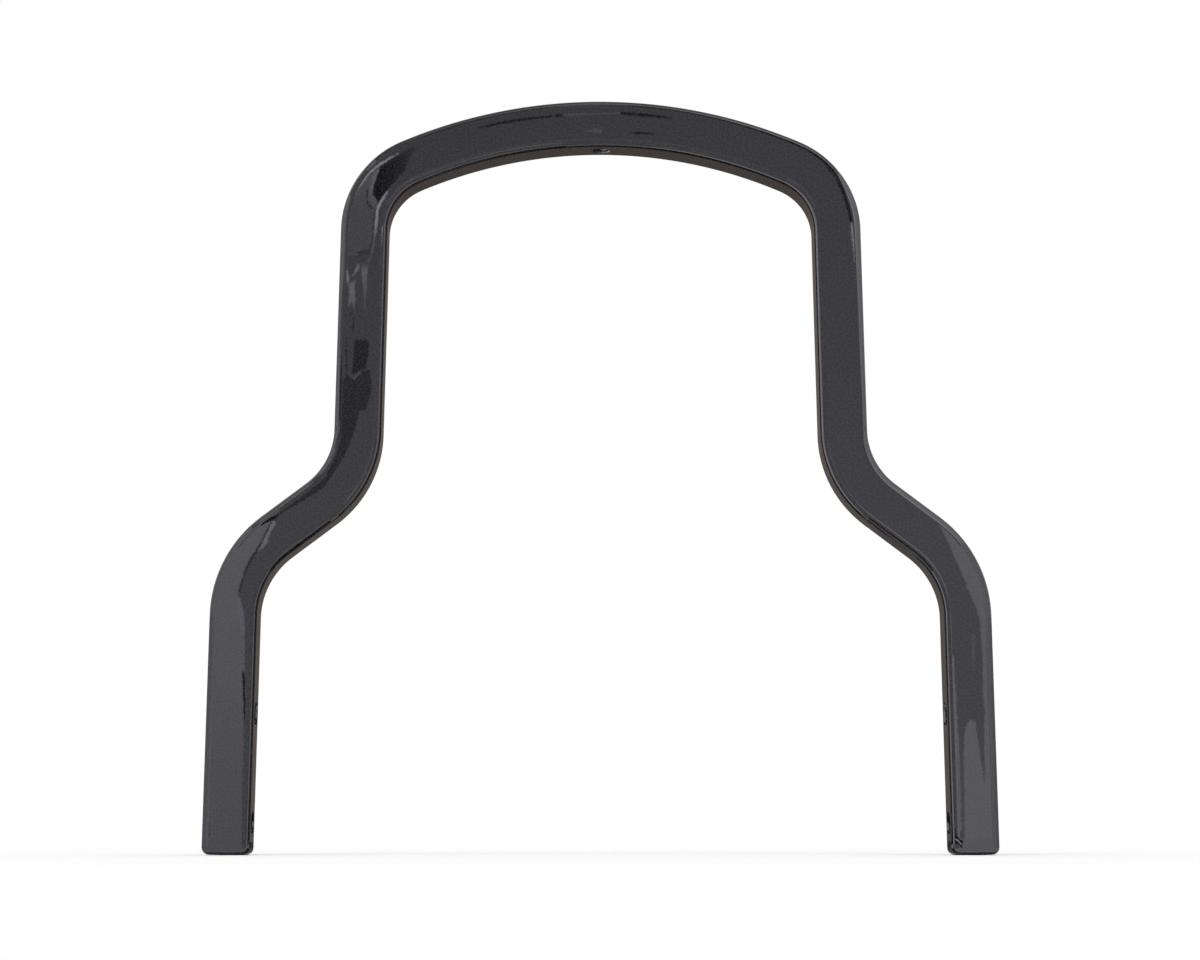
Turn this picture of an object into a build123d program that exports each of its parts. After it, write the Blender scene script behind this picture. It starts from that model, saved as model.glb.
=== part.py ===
from build123d import *
from math import cos, radians, sin, sqrt, tan
import os

# A sissy bar: one square steel bar, bent in one plane into an arched loop whose
# two legs step outwards and carry tapped holes. Millimetres, +Z up, front towards -Y.

# Bar stock
bar_side = 16.0
bar_edge_radius = 2.6
end_edge_radius = 2.4

# Arch across the top; every bend radius is taken at the middle of the bar
overall_height = 258.0
arch_radius = 165.0
arch_bend_radius = 26.0

# Uprights below the arch, which lean inwards towards the top
upright_spacing = 165.9
upright_lean = 1.15

# Shoulders, which step outwards from the uprights to the legs
shoulder_top_height = 127.7
shoulder_bottom_height = 97.0
upper_bend_radius = 31.5
lower_bend_radius = 34.5

# Legs, which splay outwards towards their ends
foot_spacing = 250.2
leg_splay = 0.92

# Tapped holes in the inner face of each leg
leg_thread_diameter = 8.0
leg_thread_depth = 10.0
leg_hole_spacing = 36.4
leg_hole_end_distance = 10.4
leg_mouth_chamfer = 0.45

# Tapped hole in the underside of the arch
pad_thread_diameter = 6.0
pad_thread_depth = 9.0
pad_mouth_chamfer = 0.25

# Every tapped hole opens with a countersink and ends in the cone of its drill
mouth_angle = 90.0
drill_point_angle = 118.0

half_side = bar_side / 2

# The arch ends where its circle meets the line of the upright
lean = radians(upright_lean)
upright_direction = Vector(-sin(lean), 0, cos(lean))
shoulder_top = Vector(upright_spacing / 2, 0, shoulder_top_height)
arch_top = Vector(0, 0, overall_height - half_side)
arch_centre = arch_top - Vector(0, 0, arch_radius)
to_arch_centre = arch_centre - shoulder_top
half_chord = sqrt(arch_radius**2 - to_arch_centre.cross(upright_direction).length ** 2)
upright_length = to_arch_centre.dot(upright_direction) + half_chord
arch_end = shoulder_top + upright_direction * upright_length

# The pad hole's countersink starts where the arch's curved underside is just clear of its rim
underside_radius = arch_radius - half_side
pad_mouth_reach = pad_thread_diameter / 2 + 2 * pad_mouth_chamfer
pad_mouth_level = arch_centre.Z + sqrt(underside_radius**2 - pad_mouth_reach**2)

# The ends are square to the legs, and the lower edge of each stands at Z = 0
splay = radians(leg_splay)
leg_direction = Vector(-sin(splay), 0, cos(splay))
inwards = Vector(-cos(splay), 0, -sin(splay))
foot = Vector(foot_spacing / 2, 0, (half_side - end_edge_radius) * sin(splay))
leg_length = (shoulder_bottom_height - foot.Z) / cos(splay)
shoulder_bottom = foot + leg_direction * leg_length


def mirrored(vector):
    """The same place or direction on the left-hand side."""
    return Vector(-vector.X, vector.Y, vector.Z)


def tapped_hole(diameter, depth, chamfer_width):
    """A blind hole of the thread's outer diameter, at the current locations."""
    radius = diameter / 2
    CounterSinkHole(radius, radius + chamfer_width, depth, mouth_angle)
    point_length = radius / tan(radians(drill_point_angle / 2))
    with Locations((0, 0, -depth)):
        Cone(
            radius,
            0,
            point_length,
            rotation=(180, 0, 0),
            align=(Align.CENTER, Align.CENTER, Align.MIN),
            mode=Mode.SUBTRACT,
        )


with BuildPart() as sissy_bar:
    # Centreline from foot to foot, its corners rounded from the arch downwards
    with BuildLine(Plane.XZ) as centreline:
        Polyline(arch_end, shoulder_top, shoulder_bottom, foot)
        mirror(about=Plane.YZ)
        ThreePointArc(mirrored(arch_end), arch_top, arch_end)
        for level, bend_radius in (
            (3, arch_bend_radius),
            (2, upper_bend_radius),
            (1, lower_bend_radius),
        ):
            fillet(centreline.vertices().group_by(Axis.Z)[level], bend_radius)

    # Square section with rounded long edges, swept along the centreline
    bar_start = Plane(centreline.line @ 0, x_dir=(0, 1, 0), z_dir=centreline.line % 0)
    with BuildSketch(bar_start):
        RectangleRounded(bar_side, bar_side, bar_edge_radius)
    sweep()

    # Rounded rims on the two sawn ends
    feet = sissy_bar.faces().filter_by(GeomType.PLANE).group_by(Axis.Z)[0]
    fillet(feet.edges(), end_edge_radius)

    # Bolt holes, square to the inner face of each leg
    inner_edge = foot + inwards * half_side
    right_face = Plane(inner_edge, x_dir=leg_direction, z_dir=inwards)
    left_face = Plane(mirrored(inner_edge), x_dir=mirrored(leg_direction), z_dir=mirrored(inwards))
    with Locations(right_face, left_face):
        with Locations(
            (leg_hole_end_distance, 0),
            (leg_hole_end_distance + leg_hole_spacing, 0),
        ):
            tapped_hole(leg_thread_diameter, leg_thread_depth, leg_mouth_chamfer)

    # Pad screw hole, upwards into the middle of the arch
    with Locations(Plane((0, 0, pad_mouth_level), z_dir=(0, 0, -1))):
        tapped_hole(pad_thread_diameter, pad_thread_depth, pad_mouth_chamfer)

sissy_bar.part.label = "sissy_bar"
os.makedirs("parts", exist_ok=True)
export_step(sissy_bar.part, "parts/sissy_bar.step")
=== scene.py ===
from itertools import repeat
from math import atan2, ceil, cos, pi, radians, sin, sqrt, tan

import bpy
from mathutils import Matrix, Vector
from mathutils.geometry import normal as face_normal


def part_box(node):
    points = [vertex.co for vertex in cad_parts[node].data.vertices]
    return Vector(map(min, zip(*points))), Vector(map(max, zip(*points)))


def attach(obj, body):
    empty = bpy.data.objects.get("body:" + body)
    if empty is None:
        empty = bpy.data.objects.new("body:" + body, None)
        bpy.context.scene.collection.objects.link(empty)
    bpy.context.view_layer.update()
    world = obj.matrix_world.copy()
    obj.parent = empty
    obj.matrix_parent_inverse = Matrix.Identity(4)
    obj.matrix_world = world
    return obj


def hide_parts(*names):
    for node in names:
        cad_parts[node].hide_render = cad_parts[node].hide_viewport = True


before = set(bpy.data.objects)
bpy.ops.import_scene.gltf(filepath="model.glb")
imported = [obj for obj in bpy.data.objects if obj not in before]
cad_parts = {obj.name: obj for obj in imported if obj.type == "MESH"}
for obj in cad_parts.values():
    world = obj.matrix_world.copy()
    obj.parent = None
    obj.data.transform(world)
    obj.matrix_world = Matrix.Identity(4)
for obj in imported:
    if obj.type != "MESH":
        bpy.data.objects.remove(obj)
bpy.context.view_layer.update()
scene = bpy.context.scene
scene.view_settings.view_transform = "Standard"

# A sissy bar of square steel bar, bent in one plane and painted gloss black.
# Metres and degrees, +Z up, front towards -Y. These sizes are the solid's own.
low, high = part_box("sissy_bar")
BAR_SIDE = high.y - low.y
OVERALL_HEIGHT = high.z
EDGE_RADIUS = 0.0026
END_RADIUS = 0.0024
ARCH_RADIUS = 0.165
CORNER_RADIUS = 0.026
UPRIGHT_SPACING = 0.1659
UPRIGHT_LEAN = 1.15
SHOULDER_TOP_HEIGHT = 0.1277
SHOULDER_BOTTOM_HEIGHT = 0.097
UPPER_BEND_RADIUS = 0.0315
LOWER_BEND_RADIUS = 0.0345
FOOT_SPACING = 0.2502
LEG_SPLAY = 0.92

# Tapped holes: thread sizes across the crests of the screw, depth, pitch and width of the countersink
LEG_HOLE_END_DISTANCE = 0.0104
LEG_HOLE_SPACING = 0.0364
LEG_THREAD = {"radius": 0.0040, "depth": 0.0100, "pitch": 0.00125, "chamfer": 0.00045}
PAD_THREAD = {"radius": 0.0030, "depth": 0.0090, "pitch": 0.00100, "chamfer": 0.00025}
THREAD_DEPTH_IN_PITCHES = 0.5413
LAND_IN_PITCHES = 0.125
GROOVE_FLOOR_IN_PITCHES = 0.25
DRILL_POINT_ANGLE = 118.0

# Fineness of the mesh
STATION_STEP = 0.0015
CORNER_STEPS = 8
SIDE_STEPS = 6
HOLE_SIDE_STEPS = 12
RIM_STEPS = 6
RINGS_PER_PITCH = 8
SHARP_ANGLE = 35.0

half_side = BAR_SIDE / 2
half_flat = half_side - EDGE_RADIUS


def stretch(length, turn=0.0, steps=None, hole=False):
    """A straight or evenly bent length of the centreline. hole marks one with a hole in its inner face."""
    steps = steps or max(1, round(length / STATION_STEP))
    return {"length": length, "turn": turn, "steps": steps, "hole": hole}


def bend(radius, turn):
    return stretch(radius * abs(turn), turn)


def centreline_stretches():
    """The right half of the centreline, from the top of the arch down to the rim of the foot."""
    lean = radians(UPRIGHT_LEAN)
    splay = radians(LEG_SPLAY)
    upright = Vector((-sin(lean), cos(lean)))
    outwards = Vector((cos(lean), sin(lean)))
    shoulder_top = Vector((UPRIGHT_SPACING / 2, SHOULDER_TOP_HEIGHT))
    foot = Vector((FOOT_SPACING / 2, (half_side - END_RADIUS) * sin(splay)))
    leg_length = (SHOULDER_BOTTOM_HEIGHT - foot.y) / cos(splay)
    shoulder_bottom = foot + leg_length * Vector((-sin(splay), cos(splay)))
    arch_centre = Vector((0, OVERALL_HEIGHT - half_side - ARCH_RADIUS))

    # The corner's centre lies one corner radius inside both the arch and the upright
    level_with_shoulder = shoulder_top - CORNER_RADIUS * outwards - arch_centre
    reach = ARCH_RADIUS - CORNER_RADIUS
    along = level_with_shoulder.dot(upright)
    rise = sqrt(along**2 - level_with_shoulder.length_squared + reach**2) - along
    corner_centre = level_with_shoulder + rise * upright
    arch_turn = atan2(corner_centre.x, corner_centre.y)

    slant = shoulder_bottom - shoulder_top
    slant_drop = atan2(-slant.y, slant.x)
    upper_turn = pi / 2 - lean - slant_drop
    lower_turn = pi / 2 - splay - slant_drop
    upper_tangent = UPPER_BEND_RADIUS * tan(upper_turn / 2)
    lower_tangent = LOWER_BEND_RADIUS * tan(lower_turn / 2)

    pad_turn = half_flat / (ARCH_RADIUS - half_side)
    leg_top = leg_length - lower_tangent - LEG_HOLE_SPACING - LEG_HOLE_END_DISTANCE - half_flat
    return [
        stretch(ARCH_RADIUS * pad_turn, -pad_turn, HOLE_SIDE_STEPS // 2),
        bend(ARCH_RADIUS, pad_turn - arch_turn),
        bend(CORNER_RADIUS, lean + arch_turn - pi / 2),
        stretch(rise - upper_tangent),
        bend(UPPER_BEND_RADIUS, upper_turn),
        stretch(slant.length - upper_tangent - lower_tangent),
        bend(LOWER_BEND_RADIUS, -lower_turn),
        stretch(leg_top),
        stretch(2 * half_flat, steps=HOLE_SIDE_STEPS, hole=True),
        stretch(LEG_HOLE_SPACING - 2 * half_flat),
        stretch(2 * half_flat, steps=HOLE_SIDE_STEPS, hole=True),
        stretch(LEG_HOLE_END_DISTANCE - half_flat - END_RADIUS),
    ]


def walk(stretches):
    """Stations along the stretches, as (x, z, heading), starting at the top of the arch."""
    x, z, heading = 0.0, OVERALL_HEIGHT - half_side, 0.0
    stations = [(x, z, heading)]
    for part in stretches:
        turn = part["turn"] / part["steps"]
        chord = part["length"] / part["steps"]
        if turn:
            chord *= sin(turn / 2) / (turn / 2)
        for _ in range(part["steps"]):
            x += chord * cos(heading + turn / 2)
            z += chord * sin(heading + turn / 2)
            heading += turn
            stations.append((x, z, heading))
    return stations


def section_points():
    """The section's outline as (core point, normal) pairs, from the inner face round by the back.
    A point of the outline lies one edge radius out from its core point."""
    points = []
    side_normal = Vector((-1, 0))
    for steps in (HOLE_SIDE_STEPS, SIDE_STEPS, SIDE_STEPS, SIDE_STEPS):
        travel = Vector((side_normal.y, -side_normal.x))
        for k in range(steps + 1):
            along = half_flat * (2 * k / steps - 1)
            points.append((half_flat * side_normal + along * travel, side_normal))
        corner = half_flat * (side_normal + travel)
        for k in range(1, CORNER_STEPS):
            angle = pi / 2 * k / CORNER_STEPS
            points.append((corner, cos(angle) * side_normal + sin(angle) * travel))
        side_normal = travel
    return points


class MeshMaker:
    """Collects points and faces, with a normal for each corner of a face where it is known."""

    def __init__(self):
        self.points = []
        self.normals = []
        self.faces = []
        self.corner_normals = []

    def add_point(self, place, normal=None):
        self.points.append(place)
        self.normals.append(normal)
        return len(self.points) - 1

    def add_face(self, corners, normals=None):
        self.faces.append(corners)
        self.corner_normals += normals or [self.normals[c] or Vector() for c in corners]

    def add_band(self, ring, next_ring):
        """Quads between two closed rings of as many points."""
        for k in range(len(ring)):
            after = (k + 1) % len(ring)
            self.add_face([ring[k], ring[after], next_ring[after], next_ring[k]])

    def mesh(self, name):
        made = bpy.data.meshes.new(name)
        made.from_pydata(self.points, [], self.faces)
        made.shade_smooth()
        made.set_sharp_from_angle(angle=radians(SHARP_ANGLE))
        made.normals_split_custom_set([tuple(n) for n in self.corner_normals])
        return made


def section_ring(maker, station, section, radius, lean_out=0.0):
    """One ring of points round the bar. lean_out turns its normals towards the bar's end."""
    x, z, heading = station
    outward = Vector((-sin(heading), 0, cos(heading)))
    forward = Vector((cos(heading), 0, sin(heading)))
    depth = Vector((0, 1, 0))
    ring = []
    for core, flat_normal in section:
        across = core + radius * flat_normal
        place = Vector((x, 0, z)) + across.x * outward + across.y * depth
        normal = flat_normal.x * outward + flat_normal.y * depth
        normal = cos(lean_out) * normal + sin(lean_out) * forward
        ring.append(maker.add_point(place, normal))
    return ring


def thread_radius(thread, angle, depth):
    """Radius of a tapped hole's wall: countersink, helical groove, or the drilled hole past it."""
    outer = thread["radius"]
    height = THREAD_DEPTH_IN_PITCHES * thread["pitch"]
    turn = (depth / thread["pitch"] + angle / (2 * pi)) % 1
    flank_end = 1 - LAND_IN_PITCHES
    groove = min(1, max(0, (flank_end - abs(2 * turn - 1)) / (flank_end - GROOVE_FLOOR_IN_PITCHES)))
    run_out = min(1, max(0, (thread["depth"] - depth) / thread["pitch"] - 1))
    wall = outer - height + height * groove * run_out
    return max(wall, outer + thread["chamfer"] - depth)


def tapped_hole(maker, border, centre, axis, along, thread):
    """A threaded blind hole inside a closed border of points, whose first point is a corner.
    axis points out of the hole, and along follows the bar."""
    side = axis.cross(along)
    count = len(border)
    first_corner = 3 * pi / 4
    angles = [2 * pi * (k / count) + first_corner for k in range(count)]
    ring_count = ceil(thread["depth"] / thread["pitch"] * RINGS_PER_PITCH)
    rings = []
    for r in range(ring_count + 1):
        depth = thread["depth"] * r / ring_count
        ring = []
        for angle in angles:
            radius = thread_radius(thread, angle, depth)
            flat = radius * (cos(angle) * along + sin(angle) * side)
            ring.append(maker.add_point(centre + flat - depth * axis))
        rings.append(ring)
    for k in range(count):
        after = (k + 1) % count
        corners = [border[k], border[after], rings[0][after], rings[0][k]]
        maker.add_face(corners, [maker.normals[border[k]], maker.normals[border[after]], axis, axis])
    for ring, next_ring in zip(rings, rings[1:]):
        maker.add_band(ring, next_ring)
    drill_radius = thread["radius"] - THREAD_DEPTH_IN_PITCHES * thread["pitch"]
    point_depth = thread["depth"] + drill_radius / tan(radians(DRILL_POINT_ANGLE / 2))
    tip = maker.add_point(centre - point_depth * axis)
    for k in range(count):
        maker.add_face([rings[-1][k], rings[-1][(k + 1) % count], tip])


def build_bar():
    maker = MeshMaker()
    section = section_points()
    stretches = centreline_stretches()
    right = walk(stretches)
    stations = [(-x, z, -heading) for x, z, heading in reversed(right[1:])] + right
    rings = [section_ring(maker, station, section, EDGE_RADIUS) for station in stations]
    middle = len(right) - 1

    # Each hole's thread, by the row of faces at which its opening in the inner face starts
    holes = {middle - HOLE_SIDE_STEPS // 2: PAD_THREAD}
    start = middle
    for part in stretches:
        end = start + part["steps"]
        if part["hole"]:
            holes[start] = LEG_THREAD
            holes[2 * middle - end] = LEG_THREAD
        start = end
    open_rows = {first + k for first in holes for k in range(HOLE_SIDE_STEPS)}

    count = len(section)
    for row in range(len(rings) - 1):
        for k in range(count):
            if row in open_rows and k < HOLE_SIDE_STEPS:
                continue
            after = (k + 1) % count
            maker.add_face([rings[row][k], rings[row][after], rings[row + 1][after], rings[row + 1][k]])

    for start, thread in holes.items():
        last = start + HOLE_SIDE_STEPS
        border = [rings[start][k] for k in range(HOLE_SIDE_STEPS)]
        border += [rings[row][HOLE_SIDE_STEPS] for row in range(start, last)]
        border += [rings[last][k] for k in range(HOLE_SIDE_STEPS, 0, -1)]
        border += [rings[row][0] for row in range(last, start, -1)]
        x, z, heading = stations[(start + last) // 2]
        axis = Vector((sin(heading), 0, -cos(heading)))
        centre = Vector((x, 0, z)) + half_side * axis
        along = Vector((cos(heading), 0, sin(heading)))
        tapped_hole(maker, border, centre, axis, along, thread)

    # Rounded rims and flat ends of the two legs
    for end_ring, station, sign in ((rings[-1], stations[-1], 1), (rings[0], stations[0], -1)):
        x, z, heading = station
        ring = end_ring
        for k in range(1, RIM_STEPS + 1):
            angle = pi / 2 * k / RIM_STEPS
            ahead = sign * END_RADIUS * sin(angle)
            place = (x + ahead * cos(heading), z + ahead * sin(heading), heading)
            radius = EDGE_RADIUS - END_RADIUS * (1 - cos(angle))
            next_ring = section_ring(maker, place, section, radius, sign * angle)
            maker.add_band(*((ring, next_ring) if sign > 0 else (next_ring, ring)))
            ring = next_ring
        maker.add_face(ring if sign > 0 else ring[::-1])

    bar = bpy.data.objects.new("bar", maker.mesh("bar"))
    scene.collection.objects.link(bar)
    return bar


# Camera: a little above the floor, looking slightly up. The photograph is 1200 x 960 pixels.
CAMERA_PLACE = Vector((-0.0073, -0.9142, 0.0078))
CAMERA_TILT = 7.42
CAMERA_TURN = 0.44
FOCAL_LENGTH_MM = 81.0
SENSOR_WIDTH_MM = 36.0
PHOTO_WIDTH = 1200
PHOTO_HEIGHT = 960
NEAREST_SEEN = 0.01


def add_camera():
    data = bpy.data.cameras.new("camera")
    data.lens = FOCAL_LENGTH_MM
    data.sensor_width = SENSOR_WIDTH_MM
    data.sensor_fit = "HORIZONTAL"
    data.clip_start = NEAREST_SEEN
    camera = bpy.data.objects.new("camera", data)
    camera.location = CAMERA_PLACE
    camera.rotation_euler = (radians(90 + CAMERA_TILT), 0, -radians(CAMERA_TURN))
    scene.collection.objects.link(camera)
    scene.camera = camera
    return camera


def add_node(tree, kind, **inputs):
    """A shader node whose inputs are set to plain values or linked to other nodes' outputs."""
    made = tree.nodes.new(kind)
    for name, value in inputs.items():
        socket = made.inputs[name.replace("_", " ")]
        if isinstance(value, bpy.types.NodeSocket):
            tree.links.new(value, socket)
        else:
            socket.default_value = value
    return made


def add_ramp(tree, factor, stops):
    """Colours blended along a factor from 0 to 1. stops holds (factor, colour) pairs."""
    ramp = add_node(tree, "ShaderNodeValToRGB", Fac=factor)
    elements = ramp.color_ramp.elements
    while len(elements) < len(stops):
        elements.new(1.0)
    for element, (place, colour) in zip(elements, stops):
        element.position = place
        element.color = (*colour, 1)
    return ramp.outputs["Color"]


# Gloss black paint: a fine grain in its colour, patches of sheen, long shallow waves, a little orange peel
PAINT_DARK = (0.0005, 0.0005, 0.001)
PAINT_LIGHT = (0.013, 0.013, 0.0155)
PAINT_GRAINS_PER_METRE = 1500.0
PAINT_GRAIN_SPREAD = (0.42, 0.58)
PAINT_PATCHES_PER_METRE = 25.0
PAINT_PATCH_SPREAD = (0.3, 0.7)
PAINT_PATCH_DETAIL = 2.0
PAINT_ROUGHNESS = (0.008, 0.014)
PAINT_IOR = 1.5
WAVES_PER_METRE = 60.0
WAVE_HEIGHT = 3.0e-6
PEEL_GRAINS_PER_METRE = 700.0
PEEL_HEIGHT = 4.0e-7
NOISE_DETAIL = 1.0


def paint_material():
    material = bpy.data.materials.new("gloss_black_paint")
    material.use_nodes = True
    tree = material.node_tree
    shader = tree.nodes["Principled BSDF"]
    place = add_node(tree, "ShaderNodeTexCoord").outputs["Object"]

    def noise(scale, detail=NOISE_DETAIL):
        made = add_node(tree, "ShaderNodeTexNoise", Vector=place, Scale=scale, Detail=detail)
        return made.outputs["Fac"]

    grain = noise(PAINT_GRAINS_PER_METRE)
    colour = add_ramp(tree, grain, list(zip(PAINT_GRAIN_SPREAD, (PAINT_DARK, PAINT_LIGHT))))
    patches = noise(PAINT_PATCHES_PER_METRE, PAINT_PATCH_DETAIL)
    least, most = PAINT_PATCH_SPREAD
    smooth, dull = PAINT_ROUGHNESS
    rough = add_node(tree, "ShaderNodeMapRange", Value=patches, From_Min=least, From_Max=most,
                     To_Min=smooth, To_Max=dull)
    waves = add_node(tree, "ShaderNodeBump", Height=noise(WAVES_PER_METRE), Distance=WAVE_HEIGHT)
    peel = add_node(tree, "ShaderNodeBump", Height=noise(PEEL_GRAINS_PER_METRE), Distance=PEEL_HEIGHT,
                    Normal=waves.outputs["Normal"])
    tree.links.new(colour, shader.inputs["Base Color"])
    tree.links.new(rough.outputs["Result"], shader.inputs["Roughness"])
    tree.links.new(peel.outputs["Normal"], shader.inputs["Normal"])
    shader.inputs["IOR"].default_value = PAINT_IOR
    return material


# Light: an even white surround and one wide lamp from the front left,
# which together bring the floor to white
SURROUND_LEVEL = 0.85
FLOOR_COLOUR = (0.95, 0.95, 0.95, 1)
FLOOR_SIZE = 40.0
SUN_STRENGTH = 0.735
SUN_WIDTH = 50.0
SUN_TILT = (30.0, 0.0, -25.0)


def add_world():
    world = bpy.data.worlds.new("studio")
    world.use_nodes = True
    tree = world.node_tree
    background = tree.nodes["Background"]
    background.inputs["Color"].default_value = (1, 1, 1, 1)
    path = add_node(tree, "ShaderNodeLightPath")
    seen = path.outputs["Is Camera Ray"]
    for kind in ("Is Glossy Ray", "Is Transmission Ray"):
        either = add_node(tree, "ShaderNodeMath")
        either.operation = "MAXIMUM"
        tree.links.new(seen, either.inputs[0])
        tree.links.new(path.outputs[kind], either.inputs[1])
        seen = either.outputs["Value"]
    level = add_node(tree, "ShaderNodeMapRange", Value=seen, To_Min=SURROUND_LEVEL, To_Max=1.0)
    tree.links.new(level.outputs["Result"], background.inputs["Strength"])
    scene.world = world


def add_sun():
    data = bpy.data.lights.new("sun", "SUN")
    data.energy = SUN_STRENGTH
    data.angle = radians(SUN_WIDTH)
    sun = bpy.data.objects.new("sun", data)
    sun.rotation_euler = [radians(angle) for angle in SUN_TILT]
    scene.collection.objects.link(sun)


def one_sided(tree, shader):
    """The shader on the front of a face, and nothing on its back."""
    back = add_node(tree, "ShaderNodeNewGeometry").outputs["Backfacing"]
    clear = add_node(tree, "ShaderNodeBsdfTransparent").outputs["BSDF"]
    mix = add_node(tree, "ShaderNodeMixShader", Fac=back)
    tree.links.new(shader, mix.inputs[1])
    tree.links.new(clear, mix.inputs[2])
    return mix.outputs["Shader"]


def add_sheet(name, corners, material, facing):
    """A flat stage piece with the given corners, whose front side faces the given way."""
    if face_normal([Vector(corner) for corner in corners]).dot(facing) < 0:
        corners = corners[::-1]
    data = bpy.data.meshes.new(name)
    data.from_pydata(corners, [], [list(range(len(corners)))])
    data.materials.append(material)
    sheet = bpy.data.objects.new(name, data)
    scene.collection.objects.link(sheet)
    return sheet


def add_floor():
    material = bpy.data.materials.new("pale_floor")
    material.use_nodes = True
    tree = material.node_tree
    shader = tree.nodes["Principled BSDF"]
    shader.inputs["Base Color"].default_value = FLOOR_COLOUR
    shader.inputs["Roughness"].default_value = 1.0
    shader.inputs["Specular IOR Level"].default_value = 0.0
    output = tree.nodes["Material Output"].inputs["Surface"]
    tree.links.new(one_sided(tree, shader.outputs["BSDF"]), output)
    reach = (-FLOOR_SIZE / 2, FLOOR_SIZE / 2)
    corners = [(x, y, 0) for x, y in rectangle(reach, reach)]
    add_sheet("floor", corners, material, Vector((0, 0, 1)))


def card_material(name, light):
    """Plain light of one colour, or of colours blended along an axis.
    A blend is {"axis": "X", "stops": [(metres, colour)]}, and an "across" entry in it,
    (axis, (metres, factor), (metres, factor)), makes it brighter along another axis."""
    material = bpy.data.materials.new(name)
    material.use_nodes = True
    material.cycles.emission_sampling = "NONE"
    tree = material.node_tree
    tree.nodes.clear()
    glow = add_node(tree, "ShaderNodeEmission")
    if isinstance(light, dict):
        stops = light["stops"]
        start, end = stops[0][0], stops[-1][0]
        peak = max(max(colour) for _, colour in stops)
        position = add_node(tree, "ShaderNodeNewGeometry").outputs["Position"]
        places = add_node(tree, "ShaderNodeSeparateXYZ", Vector=position).outputs
        run = places[light["axis"]]
        share = add_node(tree, "ShaderNodeMapRange", Value=run, From_Min=start, From_Max=end)
        shares = [((place - start) / (end - start), [c / peak for c in colour]) for place, colour in stops]
        tree.links.new(add_ramp(tree, share.outputs["Result"], shares), glow.inputs["Color"])
    else:
        peak = max(light)
        glow.inputs["Color"].default_value = (*[c / peak for c in light], 1)
    glow.inputs["Strength"].default_value = peak
    if "across" in light:
        axis, (start, first), (end, last) = light["across"]
        strength = add_node(tree, "ShaderNodeMapRange", Value=places[axis], From_Min=start, From_Max=end,
                            To_Min=peak * first, To_Max=peak * last)
        tree.links.new(strength.outputs["Result"], glow.inputs["Strength"])
    output = add_node(tree, "ShaderNodeOutputMaterial")
    tree.links.new(one_sided(tree, glow.outputs["Emission"]), output.inputs["Surface"])
    return material


def add_card(name, corners, light, facing):
    """A lit or dark card of the studio that shows only in reflections."""
    card = add_sheet(name, corners, card_material(name, light), facing)
    card.visible_camera = False
    card.visible_diffuse = False
    card.visible_transmission = False
    card.visible_volume_scatter = False
    card.visible_shadow = False
    return card


# Tints of the cards' light
COOL_WHITE = (0.985, 0.97, 1.058)
BROWN = (1.16, 0.98, 0.86)
BLUE = (0.95, 0.95, 1.12)


def white(level):
    """Slightly cool light of a level where 1 is as bright as the background."""
    return [part * level for part in COOL_WHITE]


def brown(level):
    return [part * level for part in BROWN]


def blue(level):
    return [part * level for part in BLUE]


def light_along(axis, levels):
    """White light that changes along an axis. levels holds (metres, level) pairs."""
    return {"axis": axis, "stops": [(place, white(level)) for place, level in levels]}


def rectangle(first_range, second_range):
    """Corners between two pairs of limits, one pair for each axis."""
    (left, right), (near, far) = first_range, second_range
    return [(left, near), (right, near), (right, far), (left, far)]


# Front screen, whose light falls off upwards, and a flag above it on the right as an (x, z) outline
FRONT_DISTANCE = 1.5
FRONT_SCREEN = rectangle((-0.6, 0.6), (0.0, 0.72))
FRONT_SCREEN_LIGHT = {
    "axis": "Z",
    "stops": [(0.0, white(1.20)), (0.28, white(1.15)), (0.45, white(1.0)), (0.66, white(0.89))],
    "across": ("X", (-0.3, 0.95), (0.3, 1.05)),
}
RIGHT_FLAG = [(0.15, 0.97), (0.42, 0.86), (0.5, 0.72), (0.75, 0.885), (1.15, 1.15), (1.3, 1.5),
              (0.15, 1.5)]
RIGHT_FLAG_LIGHT = [(0.15, 0.85), (0.3, 0.7), (0.42, 0.35), (0.5, 0.03), (1.15, 0.03)]

# Overhead, from the front to the back: a flag, a softbox with dimmer edges, and even grey beyond it.
# The flag and the softbox have their light from left to right.
CEILING_HEIGHT = 1.5
CEILING_X = (-1.0, 1.2)
CEILING_FLAG_Y = (-1.95, -0.82)
CEILING_FLAG_LIGHT = [(-0.8, 1.3), (-0.55, 0.75), (-0.45, 0.5), (-0.15, 0.6), (-0.06, 1.2), (0.04, 0.8),
                      (0.14, 0.28), (0.3, 0.2), (0.45, 0.1), (0.7, 0.15)]
CEILING_BOX_Y = (-0.62, -0.2)
CEILING_BOX_LIGHT = [(-0.8, 0.6), (-0.5, 1.2), (-0.15, 1.5), (0.0, 1.95), (0.15, 1.7), (0.3, 2.3),
                     (0.4, 2.8), (0.6, 2.3)]
CEILING_BOX_EDGES = {"front": ((-0.82, -0.62), 0.6), "back": ((-0.2, 0.0), 0.65)}
CEILING_GREY_Y = (0.0, 1.5)
CEILING_GREY_LEVEL = 0.5


def upright_card(name, y, outline, light):
    """A card across the view, facing away from the camera, with an (x, z) outline."""
    add_card(name, [(x, y, z) for x, z in outline], light, Vector((0, 1, 0)))


def side_card(name, x, outline, light, facing):
    """A card along the view with a (y, z) outline. facing is 1 for a card that faces +X and -1 for -X."""
    add_card(name, [(x, y, z) for y, z in outline], light, Vector((facing, 0, 0)))


def level_card(name, z, outline, light, facing):
    """A lying card with an (x, y) outline. facing is 1 for a card that faces up and -1 for down."""
    add_card(name, [(x, y, z) for x, y in outline], light, Vector((0, 0, facing)))


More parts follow.
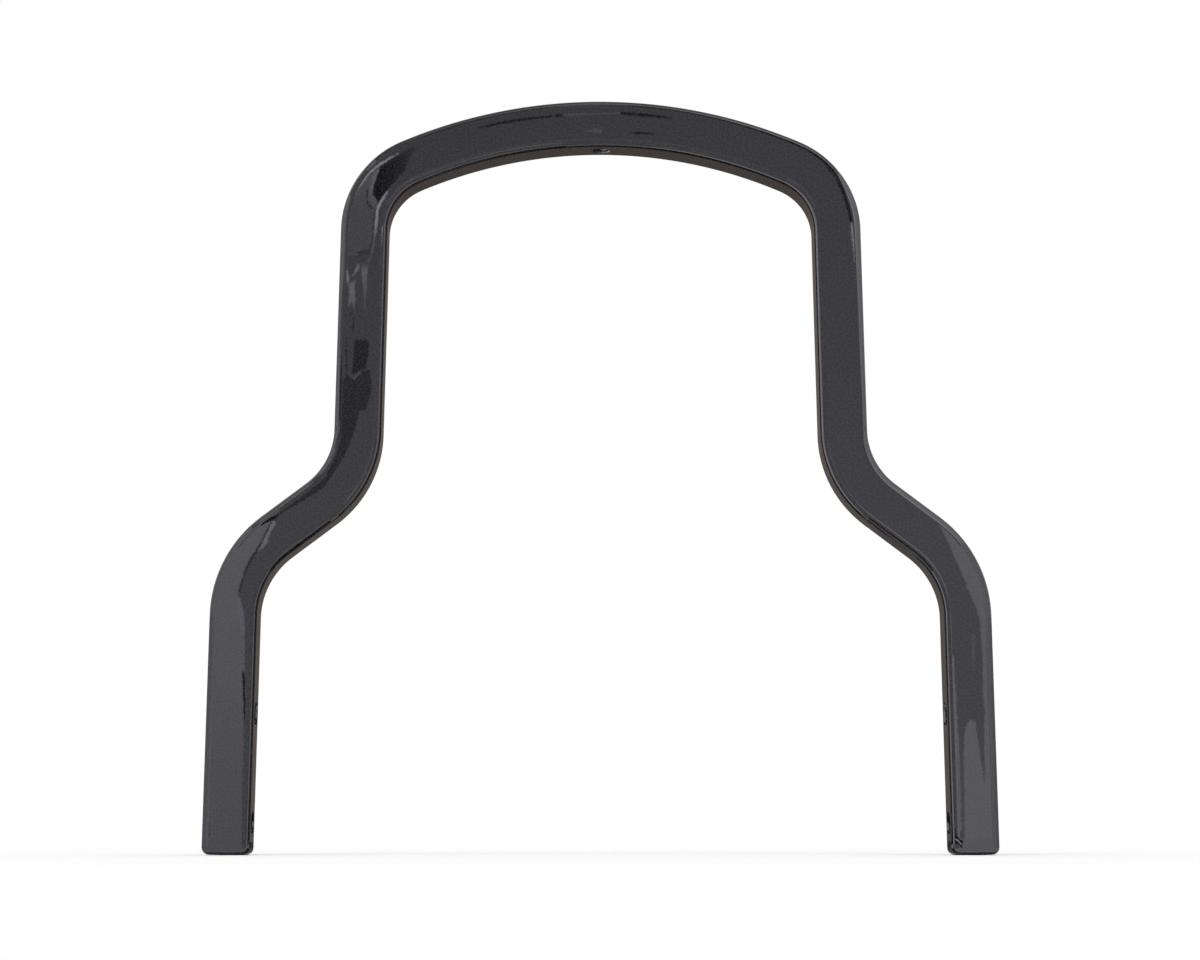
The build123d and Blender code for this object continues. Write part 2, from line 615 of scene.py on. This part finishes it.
def mirror_place(column, row, distance):
    """Where a ray through a pixel of the photograph lands that far in front of the object,
    once the bar's front face has mirrored it."""
    pixels_per_unit = FOCAL_LENGTH_MM / SENSOR_WIDTH_MM * PHOTO_WIDTH
    ray = Vector((column - PHOTO_WIDTH / 2, PHOTO_HEIGHT / 2 - row, -pixels_per_unit))
    ray.rotate(camera.rotation_euler)
    run = (distance - 2 * half_side - CAMERA_PLACE.y) / ray.y
    return (CAMERA_PLACE.x + run * ray.x, -distance, CAMERA_PLACE.z + run * ray.z)


def mirrored_card(name, outline, light, distance, tint=white):
    """A card in front of the object whose reflection in the bar's front face fills an outline
    of photo pixels. light is a level, or levels across that outline:
    {"columns": [(column, level)]} or {"rows": [(row, level)]}."""
    middle_column, middle_row = (sum(values) / len(outline) for values in zip(*outline))
    if not isinstance(light, dict):
        colours = tint(light)
    elif "columns" in light:
        stops = [
            (mirror_place(column, middle_row, distance)[0], tint(level))
            for column, level in light["columns"]
        ]
        colours = {"axis": "X", "stops": stops}
    else:
        stops = [
            (mirror_place(middle_column, row, distance)[2], tint(level))
            for row, level in light["rows"]
        ]
        colours = {"axis": "Z", "stops": stops}
    corners = [mirror_place(column, row, distance) for column, row in outline]
    add_card(name, corners, colours, Vector((0, 1, 0)))


# Softboxes and a flag beside the object, as (y, z) outlines at this distance.
# Each box has its light from front to back.
SIDE_DISTANCE = 0.45
LOW_BOX = rectangle((-0.95, 0.20), (0.0, 0.15))
LEFT_LOW_LIGHT = [(-0.95, 2.1), (-0.45, 2.0), (-0.19, 1.6), (-0.06, 1.35), (0.0, 1.2), (0.06, 1.0),
                  (0.12, 0.7), (0.20, 0.35)]
RIGHT_LOW_LIGHT = [(-0.95, 2.05), (-0.39, 1.95), (-0.19, 1.7), (-0.087, 1.55), (-0.028, 1.3),
                   (0.028, 0.9), (0.2, 0.6)]
LEFT_HIGH = [(-0.26, 0.17), (-0.27, 0.235), (-0.14, 0.25), (-0.13, 0.272), (-0.34, 0.305), (-0.6, 0.33),
             (-0.6, 0.45), (0.31, 0.45), (0.31, 0.17)]
LEFT_HIGH_LIGHT = [(-0.6, 1.45), (-0.36, 1.6), (-0.2, 2.1), (-0.1, 2.1), (0.0, 1.7), (0.06, 1.43),
                   (0.11, 1.2), (0.17, 1.0), (0.25, 0.72), (0.31, 0.55)]
LEFT_FLAG = [(-0.26, 0.24), (-0.5, 0.283), (-0.85, 0.315), (-1.2, 0.345), (-1.2, 0.28), (-0.7, 0.25),
             (-0.45, 0.236)]
LEFT_FLAG_LEVEL = 0.3
RIGHT_HIGH = [(-0.2, 0.17), (-0.3, 0.235), (-0.45, 0.28), (-0.55, 0.325), (-0.77, 0.395), (-1.1, 0.49),
              (-1.1, 0.60), (0.45, 0.60), (0.45, 0.17)]
RIGHT_HIGH_LIGHT = [(-1.1, 4.3), (-0.8, 3.9), (-0.55, 3.4), (-0.42, 2.8), (-0.33, 2.5), (-0.2, 2.45),
                    (-0.12, 2.3), (-0.05, 2.05), (0.0, 1.6), (0.06, 1.38), (0.11, 1.07), (0.17, 0.88),
                    (0.3, 0.85)]

# Smaller boxes beside the lower bends
BEND_BOX_DISTANCE = 0.2
BEND_BOX = rectangle((-0.45, 0.1), (0.087, 0.163))
BEND_BOX_LIGHT = [(-0.45, 2.1), (-0.05, 2.05), (-0.03, 1.65), (-0.01, 1.15), (0.05, 1.1), (0.1, 0.9)]

# Strips of light inside the arch, each seen by the inner edges of one side only
INNER_OFFSET = 0.01
INNER_STRIP_Y = (-0.24, 0.1)
INNER_STRIP_Z = (0.0, 0.236)
INNER_TO_RIGHT_LIGHT = [(-0.24, 1.1), (-0.08, 1.05), (-0.06, 0.75), (-0.045, 0.8), (-0.035, 2.2),
                        (-0.005, 3.0), (0.012, 3.2), (0.02, 2.2), (0.028, 0.1), (0.1, 0.0)]
INNER_TO_LEFT_LIGHT = [(-0.24, 1.1), (-0.08, 1.0), (-0.055, 0.95), (-0.045, 1.2), (-0.035, 2.1),
                       (-0.01, 2.1), (-0.003, 1.2), (0.005, 0.25), (0.03, 0.15), (0.1, 0.1)]

# A card in front of the right leg, for its inner edge
RIGHT_LEG_GLOW_DISTANCE = 0.3
RIGHT_LEG_GLOW = rectangle((0.01, 0.145), (0.0, 0.084))
RIGHT_LEG_GLOW_LEVEL = 2.6

# What lies behind the object is brown: a curved screen, and the floor in front of it. Other cards on
# the floor are the dark behind the object, a glow under the arch, and light and shade at the feet.
BACK_SCREEN_RADIUS = 0.8
BACK_SCREEN_HALF_ANGLE = 58
BACK_SCREEN_HEIGHT = 0.50
BACK_SCREEN_SEGMENTS = 12
BACK_LIGHT = {"axis": "X", "stops": [(-0.4, brown(0.19)), (0.4, brown(0.12))]}
FLOOR_CARD_HEIGHT = 0.0005
FLOOR_CARD_STEP = 0.0002
BROWN_FLOOR_X = (-0.75, 0.75)
BROWN_FLOOR_Y = (0.5, 0.8)
BROWN_FLOOR_LIGHT = {"axis": "X", "stops": [(-0.12, brown(0.16)), (0.12, brown(0.11))]}
DARK_FLOOR_Y = (0.01, 0.5)
DARK_FLOOR_LEVEL = 0.05
ARCH_GLOW = [(-0.07, -0.08), (0.07, 0.02), (0.07, 0.19), (0.04, 0.18), (0.01, 0.09), (-0.04, 0.05),
             (-0.07, 0.035)]
ARCH_GLOW_LIGHT = [(-0.05, 1.8), (0.0, 1.2), (0.05, 1.2)]
FOOT_FLOOR_Y = (-1.5, -0.0075)
LEFT_FOOT_FLOOR_X = (-0.7, -0.09)
LEFT_FOOT_FLOOR_LEVEL = 1.6
RIGHT_FOOT_FLOOR_X = (0.09, 0.7)
RIGHT_FOOT_FLOOR_LEVEL = 2.1
FOOT_SHADE_X = (0.075, 0.122)
FOOT_SHADE_Y = (-0.0075, 0.11)
FOOT_SHADE_LEVEL = 0.1

# Cards under the shoulders, for their lower edges
SHOULDER_CARD_HEIGHT = 0.05
SHOULDER_CARD_X = (0.045, 0.09)
LEFT_SHOULDER_Y = (-0.07, 0.03)
LEFT_SHOULDER_LIGHT = [(-0.07, 1.1), (-0.045, 1.7), (-0.026, 1.4), (-0.018, 0.05), (0.03, 0.03)]
RIGHT_SHOULDER_Y = (-0.09, 0.06)
RIGHT_SHOULDER_LIGHT = [(-0.09, 1.2), (-0.06, 0.9), (-0.048, 0.05), (-0.025, 0.05), (-0.015, 1.2),
                        (0.012, 1.1), (0.025, 0.3), (0.06, 0.2)]

# Cards close before the left leg's inner edge, which then shows nothing brighter than the face,
# and before the left shoulder's outer edge, which then is as bright as the panel beside it
CLOSE_DISTANCE = 0.1
LEFT_LEG_SHADE = rectangle((-0.108, -0.03), (0.0, 0.09))
LEFT_LEG_SHADE_LEVEL = 1.08
SHOULDER_FILL = [(-0.1325, 0.1295), (-0.1255, 0.1365), (-0.15, 0.165), (-0.2, 0.165), (-0.2, 0.1295)]
SHOULDER_FILL_LEVEL = 2.15

# Reflections in the front face, as outlines in pixels of the photograph, with their levels.
# First the legs: the panels beside them, and dark lines that the faces reflect.
LEFT_PANEL = [(240, 505), (262, 524), (273, 520), (267, 532), (253, 558), (245, 574), (238, 595),
              (240, 604), (245, 640), (243.5, 700), (241, 900), (-280, 900), (-280, 505)]
LEFT_PANEL_ROWS = [(850, 1.62), (760, 1.7), (670, 2.02), (540, 2.15)]
RIGHT_PANEL = [(920, 500), (936, 517), (943, 533), (952, 551), (974.5, 604), (980, 618), (982, 650),
               (983, 691), (984.5, 713), (984.5, 787), (978, 738), (975.5, 722), (970.5, 719.5),
               (965.5, 727), (963.8, 738), (963.9, 770), (964.6, 830), (964.6, 900), (1100, 900),
               (1100, 500)]
RIGHT_PANEL_LEVEL = 2.35
RIGHT_LEG_ZONE = [(952.5, 652), (956, 691), (957.3, 713), (959.5, 758), (961.9, 832), (955, 832),
                  (951, 790), (950, 700)]
RIGHT_LEG_ZONE_LEVEL = 2.35
LEG_PATCH = [(237, 598), (240, 598), (243, 612), (245, 630), (244.5, 640), (242, 632), (239, 620),
             (237, 610)]
LEG_PATCH_LEVEL = 2.3
SHOULDER_LINE = [(273, 521.5), (269.5, 527.5), (267.3, 532), (265.3, 537), (262, 543), (258.5, 549),
                 (254, 556.5), (247, 570), (239.5, 592), (237.8, 591), (245.5, 568), (252.5, 554.5),
                 (260.5, 542.5), (264, 536), (266, 531.5), (268.3, 527), (270.5, 522.5)]
SHOULDER_LINE_LEVEL = 0.5
SHOULDER_BAND = [(272.5, 522), (270, 527.5), (267.5, 532), (265.3, 537), (262, 543), (258.5, 549),
                 (257, 553), (260.5, 551), (264, 547), (267, 542.5), (268.7, 538), (270, 533.5),
                 (271.5, 530), (273.7, 527), (276, 523), (275, 521)]
SHOULDER_BAND_ROWS = [(552, 1.6), (545, 2.9), (530, 3.1), (521, 3.3)]
SHOULDER_WEDGE = [(261.5, 526), (265, 523.8), (269, 521.8), (275, 519.2), (279, 515.5), (272, 517),
                  (243, 479), (230, 488), (257, 520)]
SHOULDER_WEDGE_LEVEL = 0.1
# Painted reflections: dark cards that show as dark lines on the legs' front faces
LEG_DARK_REFLECTIONS = [
    [(212.8, 650), (214.4, 650), (214, 683), (213, 683)],
    [(208, 815), (209, 815), (209, 838), (208, 838)],
    [(242.2, 668), (244.2, 676), (245.2, 690), (246, 722), (244.2, 722), (242.8, 690)],
]
LEG_DARK_REFLECTION_LEVELS = [0.6, 0.6, 0.1]
RIGHT_LEG_STREAK = [(972.5, 633), (975.5, 636), (974.5, 655), (974, 673), (972.5, 660), (971.5, 645)]
RIGHT_LEG_STREAK_LEVEL = 1.7
# Painted reflections: dark cards that show as dark stripes on the feet's front faces, on either side of the
# glint
FOOT_DARK_REFLECTIONS = [
    [(600, 834), (780, 832), (785, 838), (890, 838), (925, 838.5), (950, 839.8), (960.5, 840),
     (963, 841), (963, 844), (961, 842.6), (950, 842.2), (925, 841), (890, 840.4), (845, 840.6),
     (785, 841.7), (600, 846)],
    [(640, 845.6), (780, 843.7), (845, 843), (890, 843.1), (925, 843.6), (948, 844.3), (962, 844.8),
     (963, 848), (961, 847.4), (948, 846.2), (890, 845.6), (845, 846), (780, 847.5), (640, 850)],
    [(245.2, 840), (246.8, 840), (246.8, 845), (245.5, 845.5)],
]
FOOT_DARK_REFLECTION_LEVEL = 0.05
FOOT_GLINT = [(640, 842.6), (780, 841.5), (890, 840.9), (925, 841.3), (948, 842.4), (961, 842.6),
              (961, 844.4), (948, 844.1), (925, 843), (890, 842.8), (780, 843.6), (640, 845.2)]
FOOT_GLINT_LEVEL = 4.0

# The uprights and the corners above them
DARK_CORNER = [(381, 166.5), (390, 160.5), (400, 154), (410, 148.5), (421, 145.5), (413, 152),
               (409, 160), (405.5, 170), (400, 176), (389, 188), (381, 200), (378, 204), (377, 199),
               (373, 194), (373.5, 189), (375, 182), (378, 174)]
DARK_CORNER_COLUMNS = [(380, 0.1), (398, 0.25), (405, 0.4), (420, 0.8)]
CORNER_RIM = [(352.5, 200), (357.5, 190.5), (363.6, 182), (370.4, 173), (380.5, 165.6), (390, 159.2),
              (401, 152.4), (390, 157.2), (378.5, 163.7), (367.4, 171.5), (360, 181.5), (354.5, 190.5)]
CORNER_RIM_LEVEL = 4.5
RIM_SHADE = [(371.5, 167.5), (378, 162), (385, 157.3), (386, 158), (378.5, 163.2), (372.5, 168.3)]
RIM_SHADE_LEVEL = 0.3
CORNER_PATCH = [(380, 167.5), (376, 171), (372.5, 177), (372, 184), (368.5, 192), (368, 200),
                (373.5, 209), (377.5, 204), (374, 196), (372.5, 190), (375, 180)]
CORNER_PATCH_ROWS = [(209, 1.6), (196, 1.65), (188, 2.3), (168, 2.4)]
CORNER_LINE = [(389, 189), (383, 196), (379.2, 203), (376.2, 209), (374.4, 228), (373.2, 241),
               (371.3, 250), (367.5, 264), (369.5, 264), (373, 250), (374.8, 241), (376.4, 228),
               (378.7, 209), (381.8, 203), (386, 196)]
CORNER_LINE_ROWS = [(264, 1.6), (240, 1.9), (225, 4.6), (189, 4.8)]
PATCH_EDGE = [(366.4, 190), (367.8, 190), (367.7, 200), (369.3, 204.5), (373, 207.5), (372.5, 209.5),
              (368, 206), (366.4, 200)]
PATCH_EDGE_LEVEL = 0.5
RIGHT_CORNER_LINE = [(826, 163.5), (832, 169), (838, 175.5), (844, 186.5), (848.6, 202), (851.8, 216),
                     (852.6, 224), (851.6, 229), (849.2, 216), (845.6, 202), (841, 189), (835.5, 178.5),
                     (828, 169.5)]
RIGHT_CORNER_LINE_LEVEL = 0.1
RIGHT_CORNER_GLINT = [(850.8, 223), (852.8, 223), (855.2, 243), (857, 263), (858.8, 280), (857.5, 285),
                      (854.3, 258), (852.6, 243)]
RIGHT_CORNER_GLINT_LEVEL = 4.0
UPRIGHT_ZONE = [(346, 214), (351, 202), (360, 186), (371, 174), (380, 167), (376, 180), (373, 200),
                (375, 211), (374, 230), (371, 250), (357, 256), (346, 256)]
UPRIGHT_ZONE_ROWS = [(256, 1.25), (210, 1.28), (195, 1.4), (180, 1.55)]
UPRIGHT_ZONE_EDGES = [
    [(357, 252), (363, 250), (371, 249), (371, 252), (364, 254), (359, 257)],
    [(373, 212), (374.4, 212), (374, 232), (372.4, 242), (370.4, 250), (368.6, 256), (367.6, 254),
     (371.4, 240), (372.6, 230)],
]
UPRIGHT_ZONE_EDGE_LEVEL = 0.7
STREAKS = [
    [(346.3, 263.5), (347.5, 270), (349.5, 280), (348, 284), (345.5, 281.5), (343.5, 290), (345, 271)],
    [(359, 262.5), (360, 266), (357, 272), (353, 277), (352.5, 276), (355, 270), (357, 265)],
    [(362, 264), (368.5, 265), (367.5, 275), (366, 300), (365.5, 311), (364, 311), (363.5, 285),
     (361.5, 275)],
    [(348, 284.5), (356.5, 280), (354.5, 286), (355.5, 300), (354, 312), (351.5, 301), (348, 308),
     (349.5, 294)],
]
STREAK_ROWS = [
    [(290, 1.2), (279, 3.3), (270, 3.3), (264, 1.6)],
    [(277, 2.2), (268, 3.2), (263, 2.0)],
    [(311, 1.3), (285, 2.0), (272, 2.4), (264, 1.3)],
    [(312, 1.3), (300, 2.4), (290, 2.6), (281, 2.2)],
]
DARK_BLOCK = [(354.4, 340), (368, 340), (368.8, 352.5), (365, 369.5), (358.8, 370.6), (352.5, 375),
              (352, 370)]
DARK_BLOCK_LEVEL = 0.32
DARK_UPRIGHT = [(347.5, 375), (352.5, 378.8), (362.5, 371), (370.6, 370), (371, 380), (370.6, 395),
                (368.8, 402.5), (365, 411), (359.4, 412), (353, 435), (346, 452.5), (337.5, 467.5),
                (325, 486), (305, 500), (262, 524.5), (300, 498), (325, 477.5), (334, 457.5),
                (338, 432.5), (339, 382.5)]
DARK_UPRIGHT_LEVEL = 0.43
BLOCK_STREAK = [(352.5, 378.8), (356, 375), (360.6, 372.5), (361, 374.4), (356, 377.5), (353.8, 380.6)]
BLOCK_STREAK_LEVEL = 1.5
UPRIGHT_LINES = [
    [(345.8, 336), (347, 336), (347, 376), (345.8, 376)],
    [(352.9, 317), (354.1, 317), (353.4, 332), (352.2, 332)],
    [(349, 312.5), (353, 312.5), (352, 314.5), (349.5, 314.5)],
]
UPRIGHT_LINE_LEVEL = 0.35

# The arch
ARCH_DASHES = [
    [(478, 127.5), (500, 121.5), (520, 118.5), (552, 115), (552, 117.2), (520, 120.8), (500, 124),
     (478, 128.5)],
    [(555, 114.7), (562, 114), (562, 116.3), (555, 117)],
    [(620, 112.2), (640, 113.2), (660, 115.6), (675, 118.5), (660, 118.5), (640, 116.4), (622, 114.8)],
    [(628, 132.7), (642, 132.2), (658, 134.5), (642, 134.7)],
]
ARCH_DASH_LEVEL = 0.15
ARCH_LINE = [(563, 114), (620, 112.3), (620, 113.8), (563, 115.6)]
ARCH_LINE_LEVEL = 1.5
ARCH_PATCH = [(583, 131), (594, 128.5), (602, 128.5), (602, 133), (590, 132.5)]
ARCH_PATCH_LEVEL = 1.4

# The cards stand one step apart, so that each covers the ones behind it. Those for the feet stand
# close to the object, because farther off their places would lie under the floor, and the shoulder's
# wedge stands just before the shoulder's fill.
CARD_STEP = 0.002
FOOT_CARD_DISTANCE = 0.05


def add_back_screen():
    for k in range(BACK_SCREEN_SEGMENTS):
        foot = []
        for end in (k, k + 1):
            angle = radians(BACK_SCREEN_HALF_ANGLE * (2 * end / BACK_SCREEN_SEGMENTS - 1))
            foot.append((BACK_SCREEN_RADIUS * sin(angle), BACK_SCREEN_RADIUS * cos(angle)))
        (x0, y0), (x1, y1) = foot
        corners = [(x0, y0, 0), (x1, y1, 0), (x1, y1, BACK_SCREEN_HEIGHT), (x0, y0, BACK_SCREEN_HEIGHT)]
        add_card(f"back_screen_{k + 1}", corners, BACK_LIGHT, Vector((0, -1, 0)))


def add_floor_cards():
    for name, x_range, y_range, light in (
        ("brown_floor", BROWN_FLOOR_X, BROWN_FLOOR_Y, BROWN_FLOOR_LIGHT),
        ("dark_floor", BROWN_FLOOR_X, DARK_FLOOR_Y, white(DARK_FLOOR_LEVEL)),
        ("left_foot_floor", LEFT_FOOT_FLOOR_X, FOOT_FLOOR_Y, white(LEFT_FOOT_FLOOR_LEVEL)),
        ("right_foot_floor", RIGHT_FOOT_FLOOR_X, FOOT_FLOOR_Y, white(RIGHT_FOOT_FLOOR_LEVEL)),
    ):
        level_card(name, FLOOR_CARD_HEIGHT, rectangle(x_range, y_range), light, 1)
    upper_height = FLOOR_CARD_HEIGHT + FLOOR_CARD_STEP
    near, far = FOOT_SHADE_X
    for name, x_range in (("left_foot_shade", (-far, -near)), ("right_foot_shade", (near, far))):
        level_card(name, upper_height, rectangle(x_range, FOOT_SHADE_Y), brown(FOOT_SHADE_LEVEL), 1)
    level_card("arch_glow", upper_height, ARCH_GLOW, light_along("X", ARCH_GLOW_LIGHT), 1)
    near, far = SHOULDER_CARD_X
    for name, x_range, y_range, levels in (
        ("left_shoulder_card", (-far, -near), LEFT_SHOULDER_Y, LEFT_SHOULDER_LIGHT),
        ("right_shoulder_card", (near, far), RIGHT_SHOULDER_Y, RIGHT_SHOULDER_LIGHT),
    ):
        level_card(name, SHOULDER_CARD_HEIGHT, rectangle(x_range, y_range), light_along("Y", levels), 1)


def add_ceiling():
    def ceiling_card(name, y_range, levels):
        level_card(name, CEILING_HEIGHT, rectangle(CEILING_X, y_range), light_along("X", levels), -1)

    ceiling_card("ceiling_flag", CEILING_FLAG_Y, CEILING_FLAG_LIGHT)
    ceiling_card("ceiling_box", CEILING_BOX_Y, CEILING_BOX_LIGHT)
    for edge, (y_range, share) in CEILING_BOX_EDGES.items():
        ceiling_card(f"ceiling_box_{edge}", y_range, [(x, share * level) for x, level in CEILING_BOX_LIGHT])
    grey = rectangle(CEILING_X, CEILING_GREY_Y)
    level_card("ceiling_grey", CEILING_HEIGHT, grey, white(CEILING_GREY_LEVEL), -1)


def add_side_boxes():
    for name, x, outline, levels in (
        ("left_low_box", -SIDE_DISTANCE, LOW_BOX, LEFT_LOW_LIGHT),
        ("left_high_box", -SIDE_DISTANCE, LEFT_HIGH, LEFT_HIGH_LIGHT),
        ("right_low_box", SIDE_DISTANCE, LOW_BOX, RIGHT_LOW_LIGHT),
        ("right_high_box", SIDE_DISTANCE, RIGHT_HIGH, RIGHT_HIGH_LIGHT),
        ("left_bend_box", -BEND_BOX_DISTANCE, BEND_BOX, BEND_BOX_LIGHT),
        ("right_bend_box", BEND_BOX_DISTANCE, BEND_BOX, BEND_BOX_LIGHT),
    ):
        side_card(name, x, outline, light_along("Y", levels), 1 if x < 0 else -1)
    strip = rectangle(INNER_STRIP_Y, INNER_STRIP_Z)
    side_card("inner_strip_to_right", -INNER_OFFSET, strip, light_along("Y", INNER_TO_RIGHT_LIGHT), 1)
    side_card("inner_strip_to_left", INNER_OFFSET, strip, light_along("Y", INNER_TO_LEFT_LIGHT), -1)
    side_card("left_flag", -SIDE_DISTANCE, LEFT_FLAG, white(LEFT_FLAG_LEVEL), 1)


def add_front_cards():
    """Cards in front of the object, from the rearmost one to the nearest."""
    cards = [
        ("left_panel", LEFT_PANEL, {"rows": LEFT_PANEL_ROWS}),
        ("right_panel", RIGHT_PANEL, RIGHT_PANEL_LEVEL),
        ("right_leg_zone", RIGHT_LEG_ZONE, RIGHT_LEG_ZONE_LEVEL),
        ("shoulder_line", SHOULDER_LINE, SHOULDER_LINE_LEVEL),
        ("upright_zone", UPRIGHT_ZONE, {"rows": UPRIGHT_ZONE_ROWS}),
        ("dark_upright", DARK_UPRIGHT, DARK_UPRIGHT_LEVEL),
        ("dark_block", DARK_BLOCK, DARK_BLOCK_LEVEL),
        ("block_streak", BLOCK_STREAK, BLOCK_STREAK_LEVEL),
        ("corner_patch", CORNER_PATCH, {"rows": CORNER_PATCH_ROWS}),
        ("patch_edge", PATCH_EDGE, PATCH_EDGE_LEVEL),
        ("dark_corner", DARK_CORNER, {"columns": DARK_CORNER_COLUMNS}),
        ("corner_rim", CORNER_RIM, CORNER_RIM_LEVEL),
        ("rim_shade", RIM_SHADE, RIM_SHADE_LEVEL),
        ("corner_line", CORNER_LINE, {"rows": CORNER_LINE_ROWS}),
        ("right_corner_line", RIGHT_CORNER_LINE, RIGHT_CORNER_LINE_LEVEL),
        ("right_corner_glint", RIGHT_CORNER_GLINT, RIGHT_CORNER_GLINT_LEVEL),
        ("arch_line", ARCH_LINE, ARCH_LINE_LEVEL),
        ("arch_patch", ARCH_PATCH, ARCH_PATCH_LEVEL),
        ("right_leg_streak", RIGHT_LEG_STREAK, RIGHT_LEG_STREAK_LEVEL),
    ]
    for name, outlines, lights in (
        ("upright_zone_edge", UPRIGHT_ZONE_EDGES, repeat(UPRIGHT_ZONE_EDGE_LEVEL)),
        ("streak", STREAKS, [{"rows": rows} for rows in STREAK_ROWS]),
        ("upright_line", UPRIGHT_LINES, repeat(UPRIGHT_LINE_LEVEL)),
        ("arch_dash", ARCH_DASHES, repeat(ARCH_DASH_LEVEL)),
        ("leg_dark_reflection", LEG_DARK_REFLECTIONS, LEG_DARK_REFLECTION_LEVELS),
    ):
        pairs = zip(outlines, lights)
        cards += [(f"{name}_{k}", outline, light) for k, (outline, light) in enumerate(pairs, start=1)]
    for k, (name, outline, light) in enumerate(cards):
        mirrored_card(name, outline, light, FRONT_DISTANCE - k * CARD_STEP)

    nearest = FRONT_DISTANCE - len(cards) * CARD_STEP
    mirrored_card("leg_patch", LEG_PATCH, LEG_PATCH_LEVEL, nearest, blue)
    mirrored_card("shoulder_band", SHOULDER_BAND, {"rows": SHOULDER_BAND_ROWS}, nearest, blue)
    mirrored_card("shoulder_wedge", SHOULDER_WEDGE, SHOULDER_WEDGE_LEVEL, CLOSE_DISTANCE - CARD_STEP)
    mirrored_card("foot_glint", FOOT_GLINT, FOOT_GLINT_LEVEL, FOOT_CARD_DISTANCE)
    # Painted reflections of dark stripes across the feet
    for k, outline in enumerate(FOOT_DARK_REFLECTIONS, start=1):
        mirrored_card(f"foot_dark_reflection_{k}", outline, FOOT_DARK_REFLECTION_LEVEL, FOOT_CARD_DISTANCE - CARD_STEP)


def add_studio():
    upright_card("front_screen", -FRONT_DISTANCE - CARD_STEP, FRONT_SCREEN, FRONT_SCREEN_LIGHT)
    upright_card("right_flag", -FRONT_DISTANCE, RIGHT_FLAG, light_along("X", RIGHT_FLAG_LIGHT))
    upright_card("right_leg_glow", -RIGHT_LEG_GLOW_DISTANCE, RIGHT_LEG_GLOW, white(RIGHT_LEG_GLOW_LEVEL))
    upright_card("left_leg_shade", -CLOSE_DISTANCE, LEFT_LEG_SHADE, white(LEFT_LEG_SHADE_LEVEL))
    upright_card("shoulder_fill", -CLOSE_DISTANCE, SHOULDER_FILL, white(SHOULDER_FILL_LEVEL))
    add_floor_cards()
    add_ceiling()
    add_back_screen()
    add_side_boxes()
    add_front_cards()


camera = add_camera()
add_world()
add_sun()
add_floor()
add_studio()
bar = build_bar()
bar.data.materials.append(paint_material())
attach(bar, "root")
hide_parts("sissy_bar")
